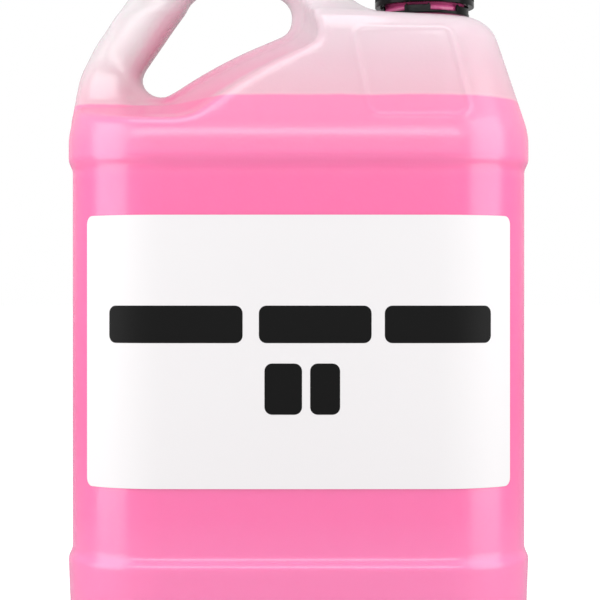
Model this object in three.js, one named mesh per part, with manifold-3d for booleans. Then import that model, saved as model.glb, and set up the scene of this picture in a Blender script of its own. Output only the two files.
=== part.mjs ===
// A five litre blow-moulded jerry can of liquid soap, with a wrapped front label,
// a screw cap, its sealing wad and its tamper ring.
// Millimetres, +Z up, the label faces -Y, origin in the middle of the base.

import * as THREE from "three";
import { mergeVertices } from "three/addons/utils/BufferGeometryUtils.js";
import Module from "manifold-3d";

const wasm = await Module();
wasm.setup();

// Bottle body
const bandWidth = 190; // over the base band and the collar
const bandDepth = 138;
const cornerRadius = 40;
const wall = 1.2;
const faceBow = 1; // how far the middle of the front and the back stands out
const panelInset = 1.7; // the label panel lies this far inside the two bands
const baseRadius = 8;
const baseTaper = 1.2; // the base band narrows by this on each side towards the floor
const baseRing = 6; // width of the flat ring that the bottle stands on
const basePushUp = 2.5;
const baseBandTop = 30.3;
const panelHeight = 155.6;
const bandStep = 3.1; // height of the slope between the panel and each band
const collarHeight = 12;
const shoulderHeight = 44;
const shoulderLean = THREE.MathUtils.degToRad(18.6); // from upright
const shoulderRadius = 9; // rounding between the leaning shoulder and the top
const topTilt = 0.05; // rise of the top for each millimetre away from the cap's side
const topCrown = 0.0012; // fall of the top for each square millimetre from its middle line

// Handle, with heights above the collar and distances from the bottle's left side
const gripThickness = 22;
const gripDepth = 26;
const gripBend = 21.1; // radius of the centre line
const gripFullness = 2.6; // of the section: 2 is an ellipse
const footIn = 11.4;
const footSunk = 4;
const kneeIn = 13.7;
const kneeRise = 28.1;
const kneeBend = 36;
const topIn = 45.6;
const gripRise = 73.7;
const gripToNeck = 45.1; // from the right leg's centre line to the neck's axis
const lowEyeRise = 26.9; // height of the opening's low corner, measured at its centre
const lowEyeRadius = 8.7;
const edgeBulge = 1.6; // how far the opening's lower edge stands into it, halfway along
const bulgeRadius = 200;

// Pinched hollow in front of and behind the opening
const webHalf = 12; // half the thickness that the pinch leaves under the handle
const webFlare = 3.5; // from the opening's edge to the foot of the pinch
const flareSteps = [[0.35, 0.06], [0.7, 0.4], [0.92, 0.9]]; // shares of webHalf and webFlare
const pinchLean = 14; // how far the right wall's foot leans left over pinchReach
const pinchReach = 60;
const mouthDepth = 62; // from the mid-plane to where the hollow's mouth is measured
const mouthLowIn = 44; // the mouth's low corner, from the left side and above the collar
const mouthLowRise = 29.4;
const mouthLowRadius = 25;
const mouthRightIn = 99;
const mouthRightRise = 37.8;
const mouthRightRadius = 5.5;
const mouthLean = 15.8;

// Roots that spread the handle's two legs into the bottle
const rightRootRise = 15.8; // above the bottle's top
const rightRootFlare = 17; // how far the right root's foot spreads towards the neck
const rightRootSweep = 1.3; // the higher, the lower down its foot spreads
const rightRootDepth = 94;
const rightRootTaper = 1.9; // the higher, the lower down its depth narrows
const rootSunk = 4.2; // how far the right root starts below the top
const leftRootRise = 35; // above the collar
const leftRootDepth = 72;
const leftRootTaper = 1.2;
const leftRootSpread = 10; // how far the left root's foot spreads to the right
const leftRootSweep = 2.2;
const leftRootIn = 0.4; // from the bottle's left side
const leftRootTuck = 3; // how much further in its foot stays below the shoulder
const tuckEnd = 6; // above the collar
const tuckFade = 8;
const leftRootLean = 5; // how far its outer side has come in at its top
const rootThinning = 0.8; // depth of a root's thin end, as a share of the handle's
const rootRounding = 0.8; // corner radius of a root's sections, as a share of their smaller half

// Neck
const neckSetback = 41; // from the bottle's right side to the neck's axis
const neckRadius = 17;
const neckWall = 2.4;
const neckHeight = 22.6;
const neckFillet = 2;
const neckSunk = 8; // how far the neck's stem starts below the top
const beadStand = 0.9;
const beadHeight = 1.8;

// Thread, right-handed
const pitch = 4.2;
const neckTurns = 1.5;
const capTurns = 1.25;
const threadDepth = 1.2;
const neckThreadFoot = 2.2; // widths at the wall and at the crest
const neckThreadCrest = 1.2;
const capThreadFoot = 1.4;
const capThreadCrest = 0.8;
const threadLand = 4.6; // from the neck's rim down to the end of its thread

// Cap, wad and ring
const capWall = 2.65;
const capRoof = 1.8;
const capEdge = 1.2;
const ribCount = 60;
const ribDepth = 0.4;
const capRim = 2; // plain height under the ribs
const wadThickness = 1;
const ringStand = 2; // of the ring above the bottle's top
const ringBand = 1.3;
const ringBlocks = 5;
const blockAngle = 34;
const blockHeight = 2.2;
const blockThickness = 0.9;
const firstBlock = -13; // degrees from the front, towards +X
const bridgeHeight = 0.6;
const bridgeWidth = 0.8;

// Label
const labelWidth = 178; // along the wrapped surface
const labelHeight = 108.1;
const labelCorner = 3.4;
const labelThickness = 0.4;
const labelRise = 27.7; // from the panel's lower edge to the label's

// Fill and clearances
const fillAboveCollar = 13;
const gap = 0.3; // between pieces that touch
const threadGap = 0.35; // from a thread's crest to the wall that it faces

// Places that follow from these, in the bottle's frame
const panelBottom = baseBandTop + bandStep;
const panelTop = panelBottom + panelHeight;
const collarBottom = panelTop + bandStep;
const collarTop = collarBottom + collarHeight;
const leanTop = collarTop + shoulderHeight;
const topHeight = leanTop + shoulderRadius * (1 - Math.sin(shoulderLean));
const leftSide = -bandWidth / 2;
const neckX = bandWidth / 2 - neckSetback;
const gripZ = collarTop + gripRise;
const rightLegX = neckX - gripToNeck;
const fillLevel = collarTop + fillAboveCollar;

// Heights above the bottle's top and radii about the neck's axis
const boreRadius = neckRadius - neckWall;
const beadRadius = neckRadius + beadStand;
const neckCrest = neckRadius + threadDepth;
const capBore = neckCrest + threadGap;
const capCrest = neckRadius + threadGap;
const capRadius = capBore + capWall;
const ringRadius = beadRadius + gap + blockThickness;
const blockTop = ringStand + ringBand + blockHeight;
const skirtBottom = blockTop + bridgeHeight + gap;
const wadBottom = neckHeight + gap;
const roofUnderside = wadBottom + wadThickness + gap;
const capTop = roofUnderside + capRoof;
const neckThreadStart = neckHeight - threadLand - neckTurns * pitch;

// Facets
const cornerSteps = 6;
const faceSteps = 6;
const baseSteps = 3;
const shoulderSteps = 4;
const crownSteps = 2;
const rootSteps = 6;
const hillSteps = 8;
const eyeSteps = 32;
const gripSides = 14;
const bendStep = THREE.MathUtils.degToRad(14);
const roundSteps = 48;

// Shared shape tools

function solid(geometry) {
  const bare = geometry.clone();
  bare.deleteAttribute("normal");
  bare.deleteAttribute("uv");
  const closed = mergeVertices(bare, 1e-4);
  return new wasm.Manifold(
    new wasm.Mesh({
      numProp: 3,
      vertProperties: closed.attributes.position.array,
      triVerts: new Uint32Array(closed.index.array),
    }),
  );
}

function geometryOf(body) {
  const mesh = body.getMesh();
  const geometry = new THREE.BufferGeometry();
  geometry.setAttribute("position", new THREE.BufferAttribute(mesh.vertProperties, 3));
  geometry.setIndex(new THREE.BufferAttribute(mesh.triVerts, 1));
  const faceted = geometry.toNonIndexed();
  faceted.computeVertexNormals();
  return faceted;
}

// A closed solid through a row of convex rings that have equally many points.
// Each end is closed by a fan from its middle.
function loft(rings) {
  const count = rings[0].length;
  const last = rings.length - 1;
  const points = rings.flat();
  const index = [];
  for (let i = 0; i < count; i++) {
    const next = (i + 1) % count;
    for (let k = 0; k < last; k++) {
      const a = k * count + i;
      const b = k * count + next;
      index.push(a, b, b + count, a, b + count, a + count);
    }
    index.push(points.length, next, i);
    index.push(points.length + 1, last * count + i, last * count + next);
  }
  for (const ring of [rings[0], rings[last]]) {
    const middle = new THREE.Vector3();
    ring.forEach((p) => middle.addScaledVector(p, 1 / count));
    points.push(middle);
  }
  const geometry = new THREE.BufferGeometry().setFromPoints(points);
  geometry.setIndex(index);
  const body = solid(geometry);
  if (body.volume() > 0) return body;
  geometry.setIndex([...index].reverse());
  return solid(geometry);
}

// Plan of the bottle: a rounded rectangle whose front and back bow out a little.
function planOutline(halfWidth, halfDepth, radius, bow) {
  const r = Math.max(radius, 1);
  const flatX = halfWidth - r;
  const flatY = halfDepth - bow - r;
  const bowAt = (x) => bow * (1 - (x / halfWidth) ** 2);
  const outline = [];
  for (let quarter = 0; quarter < 4; quarter++) {
    const sideX = quarter === 0 || quarter === 3 ? 1 : -1;
    const sideY = quarter < 2 ? 1 : -1;
    for (let i = 0; i <= cornerSteps; i++) {
      const angle = ((quarter + i / cornerSteps) * Math.PI) / 2;
      const x = sideX * flatX + r * Math.cos(angle);
      const y = sideY * flatY + (r + bowAt(x)) * Math.sin(angle);
      outline.push(new THREE.Vector2(x, y));
    }
    if (quarter % 2 === 1) continue;
    for (let i = 1; i < faceSteps; i++) {
      const x = sideX * flatX * (1 - (2 * i) / faceSteps);
      outline.push(new THREE.Vector2(x, sideY * (flatY + r + bowAt(x))));
    }
  }
  return outline;
}

// Belt round a set of circles, each point found by the direction that it faces.
function belt(circles, growth, y) {
  const points = [];
  for (let i = 0; i < eyeSteps; i++) {
    const angle = (i / eyeSteps) * 2 * Math.PI;
    const nx = Math.cos(angle);
    const nz = Math.sin(angle);
    const reach = circles.map((c) => c.x * nx + c.z * nz + c.r);
    const c = circles[reach.indexOf(Math.max(...reach))];
    points.push(new THREE.Vector3(c.x + (c.r + growth) * nx, y, c.z + (c.r + growth) * nz));
  }
  return points;
}

// Arc that rounds the corner of a path drawn in the front view.
function roundedCorner(before, corner, after, radius) {
  const back = before.clone().sub(corner).normalize();
  const ahead = after.clone().sub(corner).normalize();
  const half = back.angleTo(ahead) / 2;
  const middle = back.clone().add(ahead).normalize();
  const centre = corner.clone().addScaledVector(middle, radius / Math.sin(half));
  const start = corner.clone().addScaledVector(back, radius / Math.tan(half));
  const end = corner.clone().addScaledVector(ahead, radius / Math.tan(half));
  return { centre, start, end, sweep: Math.PI - 2 * half };
}

const at = (x, z) => new THREE.Vector3(x, 0, z);
const circleAt = (p, r) => ({ x: p.x, z: p.z, r });

// Handle's centre line and the corners of its opening

const legFoot = at(leftSide + footIn, collarTop - footSunk);
const knee = at(leftSide + kneeIn, collarTop + kneeRise);
const topLeft = at(leftSide + topIn, gripZ);
const topRight = at(rightLegX, gripZ);
const rightFoot = at(rightLegX, leanTop - 2);
const kneeArc = roundedCorner(legFoot, knee, topLeft, kneeBend);
const leftArc = roundedCorner(knee, topLeft, topRight, gripBend);
const rightArc = roundedCorner(topLeft, topRight, rightFoot, gripBend);

const eyeRadius = gripBend - gripThickness / 2;
const legWay = topLeft.clone().sub(knee).normalize();
const legNormal = at(legWay.z, -legWay.x);
const lowEyeZ = collarTop + lowEyeRise;
const lowEyeOff = gripThickness / 2 + lowEyeRadius;
const alongLeg = (lowEyeZ - knee.z - legNormal.z * lowEyeOff) / legWay.z;
const lowEye = knee.clone().addScaledVector(legWay, alongLeg).addScaledVector(legNormal, lowEyeOff);
const eyeLow = circleAt(lowEye, lowEyeRadius);
const eyeLeft = circleAt(leftArc.centre, eyeRadius);
const eyeRight = circleAt(rightArc.centre, eyeRadius);

// Corners of the pinched hollow, at the web and at its mouth
const farLeft = leftSide - pinchReach;
const farTop = eyeRight.z + pinchReach;
const mouthLow = circleAt(at(leftSide + mouthLowIn, collarTop + mouthLowRise), mouthLowRadius);
const mouthRight = circleAt(
  at(leftSide + mouthRightIn, collarTop + mouthRightRise),
  mouthRightRadius,
);
const hollowCircles = (low, right, lean) => [
  low,
  right,
  { x: right.x - lean, z: farTop, r: right.r },
  { x: farLeft, z: farTop, r: right.r },
  { x: farLeft, z: low.z, r: low.r },
];
const webCircles = hollowCircles(eyeLow, eyeRight, pinchLean);
const mouthCircles = hollowCircles(mouthLow, mouthRight, mouthLean);

// Bottle

function bodySolid(inward) {
  const stations = [];
  const add = (z, inset, angle, share = 0) => stations.push({ z, inset, angle, share });
  const floorInset = baseTaper + baseRadius + baseRing;
  const down = -Math.PI / 2;
  add(basePushUp, floorInset + basePushUp, down);
  add(0, floorInset, down);
  for (let i = 0; i <= baseSteps; i++) {
    const angle = down * (1 - i / baseSteps);
    const inset = baseTaper + baseRadius * (1 - Math.cos(angle));
    add(baseRadius * (1 + Math.sin(angle)), inset, angle);
  }
  add(baseBandTop, 0, 0);
  add(panelBottom, panelInset, 0);
  add(panelTop, panelInset, 0);
  add(collarBottom, 0, 0);
  add(collarTop, 0, shoulderLean / 2);
  const leanInset = shoulderHeight * Math.tan(shoulderLean);
  for (let i = 0; i <= shoulderSteps; i++) {
    const angle = shoulderLean + (i / shoulderSteps) * (Math.PI / 2 - shoulderLean);
    const inset = leanInset + shoulderRadius * (Math.cos(shoulderLean) - Math.cos(angle));
    const z = leanTop + shoulderRadius * (Math.sin(angle) - Math.sin(shoulderLean));
    add(z, inset, angle, i / shoulderSteps);
  }
  // The top rises from its edge to its middle line
  const edgeInset = leanInset + shoulderRadius * Math.cos(shoulderLean);
  for (let i = 1; i <= crownSteps; i++) {
    const inset = edgeInset + (bandDepth / 2 - edgeInset) * (i / (crownSteps + 1));
    add(topHeight, inset, Math.PI / 2, 1);
  }
  const rings = stations.map(({ z, inset, angle, share }) => {
    const off = inset + inward * Math.cos(angle);
    const bow = faceBow * Math.max(0, 1 - (4 * inset) / bandDepth);
    const level = z - inward * Math.sin(angle);
    const outline = planOutline(bandWidth / 2 - off, bandDepth / 2 - off, cornerRadius - off, bow);
    const lift = (p) => share * (topTilt * (neckX - p.x) - topCrown * p.y ** 2);
    return outline.map((p) => new THREE.Vector3(p.x, p.y, level + lift(p)));
  });
  return loft(rings);
}

// A root of the handle: level rounded sections between a left and a right edge.
function rootSolid(sections) {
  const rings = sections.map(({ z, left, right, halfDepth }) => {
    const halfWidth = (right - left) / 2;
    const radius = rootRounding * Math.min(halfWidth, halfDepth);
    const outline = planOutline(halfWidth, halfDepth, radius, 0);
    return outline.map((p) => new THREE.Vector3(p.x + (left + right) / 2, p.y, z));
  });
  return loft(rings);
}

// The right root narrows upwards from a broad foot on the top to the handle's thickness.
function rightRoot(inward) {
  const outer = gripBend + gripThickness / 2;
  const thin = (rootThinning * gripDepth) / 2;
  const sections = [];
  for (let i = 0; i <= rootSteps; i++) {
    const share = i / rootSteps;
    const z = topHeight + THREE.MathUtils.lerp(-rootSunk, rightRootRise, share);
    const rise = Math.max(0, z - rightArc.centre.z);
    const edge = rightArc.centre.x + Math.sqrt(outer ** 2 - rise ** 2);
    sections.push({
      z: z - inward * share,
      left: rightArc.centre.x + inward,
      right: edge + rightRootFlare * (1 - share) ** rightRootSweep - inward,
      halfDepth: thin + (rightRootDepth / 2 - thin) * (1 - share) ** rightRootTaper - inward,
    });
  }
  return rootSolid(sections);
}

// The left root spreads the leg's foot over the left end of the shoulder.
function leftRoot(inward) {
  const legEdge = gripThickness / 2 / Math.abs(legNormal.x);
  const thin = (rootThinning * gripDepth) / 2;
  const sections = [];
  const section = (z, share) => {
    const onLeg = knee.x + (Math.max(0, z - knee.z) * legWay.x) / legWay.z;
    const tucked = leftRootTuck * THREE.MathUtils.clamp((collarTop + tuckEnd - z) / tuckFade, 0, 1);
    const left = leftSide + leftRootIn + tucked + leftRootLean * share ** 3;
    const right = onLeg + legEdge / 2 + leftRootSpread * (1 - share) ** leftRootSweep;
    const halfDepth = thin + (leftRootDepth / 2 - thin) * (1 - share) ** leftRootTaper;
    sections.push({ z, left: left + inward, right: right - inward, halfDepth: halfDepth - inward });
  };
  section(collarTop - footSunk, 0);
  for (let i = 0; i <= rootSteps; i++) {
    section(collarTop + (leftRootRise * i) / rootSteps, i / rootSteps);
  }
  return rootSolid(sections);
}

function gripSolid(inward) {
  const line = [legFoot];
  for (const { centre, start, sweep } of [kneeArc, leftArc, rightArc]) {
    const steps = Math.max(2, Math.round(sweep / bendStep));
    for (let i = 0; i <= steps; i++) {
      const spoke = start.clone().sub(centre);
      const turn = (i * sweep) / steps;
      line.push(spoke.applyAxisAngle(new THREE.Vector3(0, 1, 0), turn).add(centre));
    }
  }
  line.push(rightFoot);
  const rings = line.map((p, k) => {
    const before = line[Math.max(0, k - 1)];
    const after = line[Math.min(line.length - 1, k + 1)];
    const way = after.clone().sub(before).normalize();
    const side = at(way.z, -way.x);
    return gripSection(inward).map((s) =>
      p.clone().addScaledVector(side, s.x).setY(s.y),
    );
  });
  return loft(rings);
}

// Section of the handle: rounder than a box and fuller than an ellipse.
function gripSection(inward) {
  const power = 2 / gripFullness;
  const section = [];
  for (let i = 0; i < gripSides; i++) {
    const angle = ((i + 0.5) / gripSides) * 2 * Math.PI;
    const c = Math.cos(angle);
    const s = Math.sin(angle);
    const x = (gripThickness / 2 - inward) * Math.sign(c) * Math.abs(c) ** power;
    const y = (gripDepth / 2 - inward) * Math.sign(s) * Math.abs(s) ** power;
    section.push(new THREE.Vector2(x, y));
  }
  return section;
}

// Between a low and a right circle, a hill stands into the line that touches both from below.
function hillCentre(low, right, growth) {
  const way = at(right.x - low.x, right.z - low.z);
  const slant = Math.atan2(way.z, way.x) + Math.asin((low.r - right.r) / way.length());
  const normal = at(Math.sin(slant), -Math.cos(slant));
  const middle = at((low.x + right.x) / 2, (low.z + right.z) / 2);
  const out = (low.r + right.r) / 2 + growth + bulgeRadius - edgeBulge;
  return middle.addScaledVector(normal, out);
}

const eyeHill = hillCentre(eyeLow, eyeRight, 0);
const webHill = hillCentre(eyeLow, eyeRight, webFlare);
const mouthHill = hillCentre(mouthLow, mouthRight, 0);
const shareAt = (depth) => (depth - webHalf) / (mouthDepth - webHalf);
const outside = bandDepth / 2 + 10;

function hillSolid(inward) {
  const stations = flareSteps.map(([depth, flare]) => ({
    depth: depth * webHalf,
    centre: eyeHill.clone().lerp(webHill, flare),
  }));
  for (const depth of [webHalf, outside]) {
    stations.push({ depth, centre: webHill.clone().lerp(mouthHill, shareAt(depth)) });
  }
  const top = Math.atan2(eyeLow.z - eyeHill.z, eyeLow.x - eyeHill.x);
  const end = Math.atan2(eyeRight.z - eyeHill.z, eyeRight.x - eyeHill.x);
  const middle = (top + end) / 2;
  const half = top - end;
  const radius = bulgeRadius - inward;
  const ring = ({ depth, centre }, face) => {
    const points = [];
    for (let i = 0; i <= hillSteps; i++) {
      const angle = middle - half + (2 * half * i) / hillSteps;
      points.push(at(radius * Math.cos(angle), radius * Math.sin(angle)));
    }
    for (const edge of [half, -half]) {
      const angle = middle + edge;
      points.push(at(Math.cos(angle), Math.sin(angle)).multiplyScalar(bulgeRadius / 2));
    }
    return points.map((p) => p.add(centre).setY(face * depth));
  };
  const front = [...stations].reverse().map((s) => ring(s, -1));
  return loft([...front, ...stations.map((s) => ring(s, 1))]);
}

// Tapered plug that cuts the hollow on one face.
function pinchSolid(inward, face) {
  const ring = (depth) => {
    const y = face * depth;
    const foot = belt(webCircles, webFlare + inward, y);
    const mouth = belt(mouthCircles, inward, y);
    return foot.map((p, i) => p.lerp(mouth[i], shareAt(depth)));
  };
  return loft([ring(webHalf - inward), ring(outside)]).subtract(hillSolid(inward));
}

// Finger opening, flared towards the faces of the web.
function openingSolid(inward) {
  const circles = [eyeLow, eyeRight, eyeLeft];
  const flares = [...flareSteps, [1.25, 1]];
  const ring = ([depth, flare], face) =>
    belt(circles, webFlare * flare + inward, face * depth * webHalf);
  const front = [...flares].reverse().map((f) => ring(f, -1));
  return loft([...front, ...flares.map((f) => ring(f, 1))]).subtract(hillSolid(inward));
}

function bottleSolid(inward) {
  return bodySolid(inward)
    .add(rightRoot(inward))
    .subtract(pinchSolid(inward, -1))
    .subtract(pinchSolid(inward, 1))
    .add(leftRoot(inward))
    .add(gripSolid(inward))
    .subtract(openingSolid(inward));
}

// Turned shapes about the neck's axis, with heights above the bottle's top

function turned(profile) {
  const points = profile.map(([r, z]) => new THREE.Vector2(r, z));
  const geometry = new THREE.LatheGeometry(points, roundSteps);
  geometry.rotateX(Math.PI / 2);
  const body = solid(geometry);
  if (body.volume() > 0) return body;
  return turned([...profile].reverse());
}

function threadRidge(footRadius, crestRadius, footWidth, crestWidth, turns, start) {
  const steps = Math.round(turns * roundSteps);
  const runOut = 4;
  const sunk = footRadius + Math.sign(footRadius - crestRadius) * gap;
  const rings = [];
  for (let i = 0; i <= steps; i++) {
    const angle = (i / roundSteps) * 2 * Math.PI;
    const full = Math.min(1, (i + 1) / runOut, (steps - i + 1) / runOut);
    const crest = THREE.MathUtils.lerp(footRadius, crestRadius, full);
    const z = start + (pitch * i) / roundSteps;
    const section = [
      [sunk, -footWidth / 2],
      [crest, -crestWidth / 2],
      [crest, crestWidth / 2],
      [sunk, footWidth / 2],
    ];
    rings.push(
      section.map(([r, dz]) => new THREE.Vector3(r * Math.cos(angle), r * Math.sin(angle), z + dz)),
    );
  }
  return loft(rings);
}

function neckSolid() {
  const beadBottom = ringStand + ringBand + gap;
  const beadTop = beadBottom + beadHeight;
  const root = -neckSunk;
  const stem = turned([
    [0, root],
    [neckRadius + neckFillet, root],
    [neckRadius + neckFillet, -gap],
    [neckRadius, neckFillet - gap],
    [neckRadius, beadBottom],
    [beadRadius, beadBottom + gap],
    [beadRadius, beadTop - 2 * gap],
    [neckRadius, beadTop],
    [neckRadius, neckHeight - gap],
    [neckRadius - gap, neckHeight],
    [0, neckHeight],
  ]);
  return stem.add(
    threadRidge(neckRadius, neckCrest, neckThreadFoot, neckThreadCrest, neckTurns, neckThreadStart),
  );
}

const onTop = (body) => solid(geometryOf(body).translate(neckX, 0, topHeight));

function containerSolid() {
  const bore = turned([
    [0, -neckSunk - wall],
    [boreRadius, -neckSunk - wall],
    [boreRadius, neckHeight + gap],
    [0, neckHeight + gap],
  ]);
  return bottleSolid(0).add(onTop(neckSolid())).subtract(bottleSolid(wall)).subtract(onTop(bore));
}

function soapSolid() {
  const inward = wall + gap;
  const above = new THREE.BoxGeometry(2 * bandWidth, 2 * bandDepth, 2 * bandWidth);
  above.translate(0, 0, fillLevel + bandWidth);
  return bottleSolid(inward).subtract(solid(above));
}

function labelSolid() {
  const halfWidth = bandWidth / 2 - panelInset;
  const halfDepth = bandDepth / 2 - panelInset;
  const r = cornerRadius - panelInset;
  const bow = faceBow * (1 - (4 * panelInset) / bandDepth);
  const flatX = halfWidth - r;
  const flatY = halfDepth - bow - r;
  const end = labelWidth / 2;
  // Half of the columns' places, along the surface from the middle of the front
  const places = [0];
  for (let i = 1; i <= faceSteps / 2; i++) places.push((2 * i * flatX) / faceSteps);
  const arcStep = (r * Math.PI) / 2 / cornerSteps;
  for (let s = flatX + arcStep; s < end - 0.1; s += arcStep) places.push(s);
  const roundings = [1, 0.3, 0].map((share) => end - share * labelCorner);
  const half = [...places.filter((s) => s < roundings[0] - 0.1), ...roundings];
  const columns = [...half.slice(1).reverse().map((s) => -s), ...half];
  const middle = panelBottom + labelRise + labelHeight / 2;
  const rings = columns.map((s) => {
    const side = Math.sign(s);
    const angle = side * Math.max(0, (Math.abs(s) - flatX) / r);
    const base = side * Math.min(Math.abs(s), flatX);
    const nearEnd = Math.max(0, labelCorner - (end - Math.abs(s)));
    const cut = labelCorner - Math.sqrt(labelCorner ** 2 - nearEnd ** 2);
    const up = labelHeight / 2 - cut;
    const point = (out, z) => {
      const x = base + (r + out) * Math.sin(angle);
      const bowed = bow * (1 - (x / halfWidth) ** 2);
      return new THREE.Vector3(x, -flatY - (r + out + bowed) * Math.cos(angle), middle + z);
    };
    const outer = gap + labelThickness;
    return [point(gap, -up), point(outer, -up), point(outer, up), point(gap, up)];
  });
  return loft(rings);
}

// Closure, in its own frame on the neck's axis

function capSolid() {
  const core = capRadius - ribDepth;
  const outside = turned([
    [0, skirtBottom],
    [core, skirtBottom],
    [capRadius, skirtBottom + ribDepth],
    [capRadius, skirtBottom + capRim],
    [core, skirtBottom + capRim + ribDepth],
    [core, capTop - capEdge],
    [core - capEdge / 3, capTop - capEdge / 3],
    [core - capEdge, capTop],
    [0, capTop],
  ]);
  const ribbed = new THREE.Shape();
  const ribCorners = [
    [0, core - gap],
    [0.12, core],
    [0.3, capRadius],
    [0.7, capRadius],
    [0.88, core],
  ];
  for (let i = 0; i < ribCount; i++) {
    for (const [share, r] of ribCorners) {
      const angle = ((i + share) / ribCount) * 2 * Math.PI;
      const place = [r * Math.cos(angle), r * Math.sin(angle)];
      if (i === 0 && share === 0) ribbed.moveTo(...place);
      else ribbed.lineTo(...place);
    }
  }
  const ribs = new THREE.ExtrudeGeometry(ribbed, {
    depth: capTop - capEdge - skirtBottom - capRim,
    bevelEnabled: false,
  });
  ribs.translate(0, 0, skirtBottom + capRim);
  const inside = turned([
    [0, skirtBottom - gap],
    [capBore + gap, skirtBottom - gap],
    [capBore, skirtBottom + gap],
    [capBore, roofUnderside],
    [0, roofUnderside],
  ]);
  const share = (r) => (r - neckRadius) / threadDepth;
  const neckHalf = (r) => THREE.MathUtils.lerp(neckThreadFoot, neckThreadCrest, share(r)) / 2;
  const capShare = (r) => (capBore - r) / (capBore - capCrest);
  const capHalf = (r) => THREE.MathUtils.lerp(capThreadFoot, capThreadCrest, capShare(r)) / 2;
  const reach = Math.max(...[capCrest, neckCrest].map((r) => neckHalf(r) + capHalf(r)));
  const start = neckThreadStart - reach - gap;
  return outside
    .add(solid(ribs))
    .subtract(inside)
    .add(threadRidge(capBore, capCrest, capThreadFoot, capThreadCrest, capTurns, start));
}

function wadSolid() {
  const radius = capBore - gap;
  const top = wadBottom + wadThickness;
  return turned([
    [0, wadBottom],
    [radius, wadBottom],
    [radius, top],
    [0, top],
  ]);
}

// A stretch of a ring between two angles, which are measured from the front towards +X.
function arcBlock(inner, outer, from, to, bottom, top) {
  const steps = Math.max(1, Math.round((to - from) / 8));
  const rings = [];
  for (let i = 0; i <= steps; i++) {
    const angle = THREE.MathUtils.degToRad(from + ((to - from) * i) / steps - 90);
    const corner = (r, z) => new THREE.Vector3(r * Math.cos(angle), r * Math.sin(angle), z);
    rings.push([corner(inner, bottom), corner(outer, bottom), corner(outer, top), corner(inner, top)]);
  }
  return loft(rings);
}

function ringSolid() {
  const bandTop = ringStand + ringBand;
  const bandBore = neckRadius + gap;
  let ring = turned([
    [bandBore, ringStand],
    [ringRadius, ringStand],
    [ringRadius, bandTop],
    [bandBore, bandTop],
    [bandBore, ringStand],
  ]);
  const blockBore = beadRadius + gap;
  const bridgeAngle = THREE.MathUtils.radToDeg(bridgeWidth / ringRadius);
  for (let i = 0; i < ringBlocks; i++) {
    const middle = firstBlock + (i * 360) / ringBlocks;
    const from = middle - blockAngle / 2;
    const to = middle + blockAngle / 2;
    ring = ring.add(arcBlock(blockBore, ringRadius, from, to, bandTop - gap, blockTop));
    for (const edge of [from + bridgeAngle, to - bridgeAngle]) {
      const half = bridgeAngle / 2;
      const bridge = [edge - half, edge + half, blockTop - gap, blockTop + bridgeHeight];
      ring = ring.add(arcBlock(blockBore, ringRadius, ...bridge));
    }
  }
  return ring;
}

// Scene graph

function piece(name, body, colour, roughness, opacity = 1) {
  const material = new THREE.MeshStandardMaterial({
    color: colour,
    roughness,
    metalness: 0,
    opacity,
    transparent: opacity < 1,
  });
  const mesh = new THREE.Mesh(geometryOf(body), material);
  mesh.name = name;
  return mesh;
}

const closure = new THREE.Group();
closure.position.set(neckX, 0, topHeight);
closure.add(piece("screw_cap", capSolid(), 0x141414, 0.35));
closure.add(piece("cap_wad", wadSolid(), 0xf2f0ea, 0.7));
closure.add(piece("tamper_ring", ringSolid(), 0x141414, 0.35));

const pack = new THREE.Group();
pack.add(piece("container", containerSolid(), 0xf4e6ec, 0.4, 0.55));
pack.add(piece("liquid_soap", soapSolid(), 0xff7ab2, 0.1, 0.9));
pack.add(piece("front_label", labelSolid(), 0xf4f4f6, 0.5));
pack.add(closure);

export default pack;
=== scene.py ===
import math

import bmesh
import bpy
import numpy as np
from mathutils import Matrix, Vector


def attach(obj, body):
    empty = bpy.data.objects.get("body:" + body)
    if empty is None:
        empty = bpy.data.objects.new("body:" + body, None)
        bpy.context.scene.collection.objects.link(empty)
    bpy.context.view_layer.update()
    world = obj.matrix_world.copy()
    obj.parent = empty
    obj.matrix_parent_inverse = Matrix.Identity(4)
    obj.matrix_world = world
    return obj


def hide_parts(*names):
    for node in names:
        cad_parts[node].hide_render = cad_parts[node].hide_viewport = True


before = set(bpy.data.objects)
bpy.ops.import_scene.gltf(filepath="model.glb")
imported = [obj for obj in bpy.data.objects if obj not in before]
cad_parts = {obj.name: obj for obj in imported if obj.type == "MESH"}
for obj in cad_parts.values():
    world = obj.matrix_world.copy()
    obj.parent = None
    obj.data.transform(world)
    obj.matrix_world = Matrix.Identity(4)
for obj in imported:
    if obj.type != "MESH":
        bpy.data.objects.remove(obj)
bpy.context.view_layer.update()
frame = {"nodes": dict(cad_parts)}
print("frame loaded:", ", ".join(frame["nodes"]))

mm = 0.001

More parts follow.
